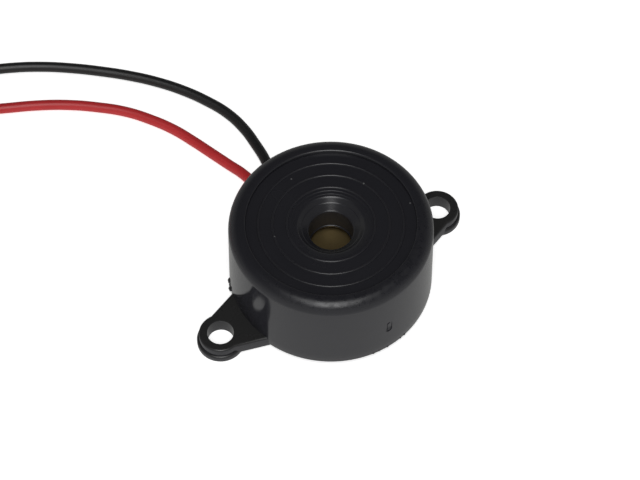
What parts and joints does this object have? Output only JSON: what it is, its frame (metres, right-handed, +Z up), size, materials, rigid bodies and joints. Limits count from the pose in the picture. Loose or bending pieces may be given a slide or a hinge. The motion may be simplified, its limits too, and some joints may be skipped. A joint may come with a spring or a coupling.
{
  "type": "piezo buzzer",
  "caption": "Round black piezo buzzer with a ringed top, a flared sound hole, screw ears on opposite sides and red and black flying leads.",
  "frame": {"origin": "on the mounting surface, under the middle of the round body", "axes": "+X through the two screw ears, +Y towards the leads, +Z up out of the sound hole"},
  "size_m": [0.0623, 0.063, 0.0119],
  "materials": {
    "housing": "black, glossy moulding",
    "brass": "rolled brass",
    "adhesive": "soft silicone",
    "ceramic": "fired ceramic",
    "silver": "printed silver layer",
    "board": "paper laminate",
    "chips": "moulded chips",
    "thin_wire": "thin insulated wire",
    "solder": "tin solder",
    "core": "tinned copper strands",
    "red_insulation": "red insulation, satin",
    "black_insulation": "black insulation, satin",
    "resin": "cast resin",
    "tie": "pale plastic band"
  },
  "bodies": {
    "root": {"housing": "housing", "diaphragm_plate": "brass", "diaphragm_adhesive": "adhesive", "piezo_ceramic": "ceramic", "main_electrode": "silver", "feedback_electrode": "silver", "circuit_board": "board", "transistor": "chips", "resistors": "chips", "piezo_wires": "thin_wire", "wire_solder": "solder", "lead_solder": "solder", "lead_cores": "core", "red_lead_end": "red_insulation", "black_lead_end": "black_insulation", "back_seal": "resin", "red_lead": "red_insulation", "black_lead": "black_insulation", "lead_coil": "red_insulation", "coil_tie": "tie"}
  },
  "joints": []
}
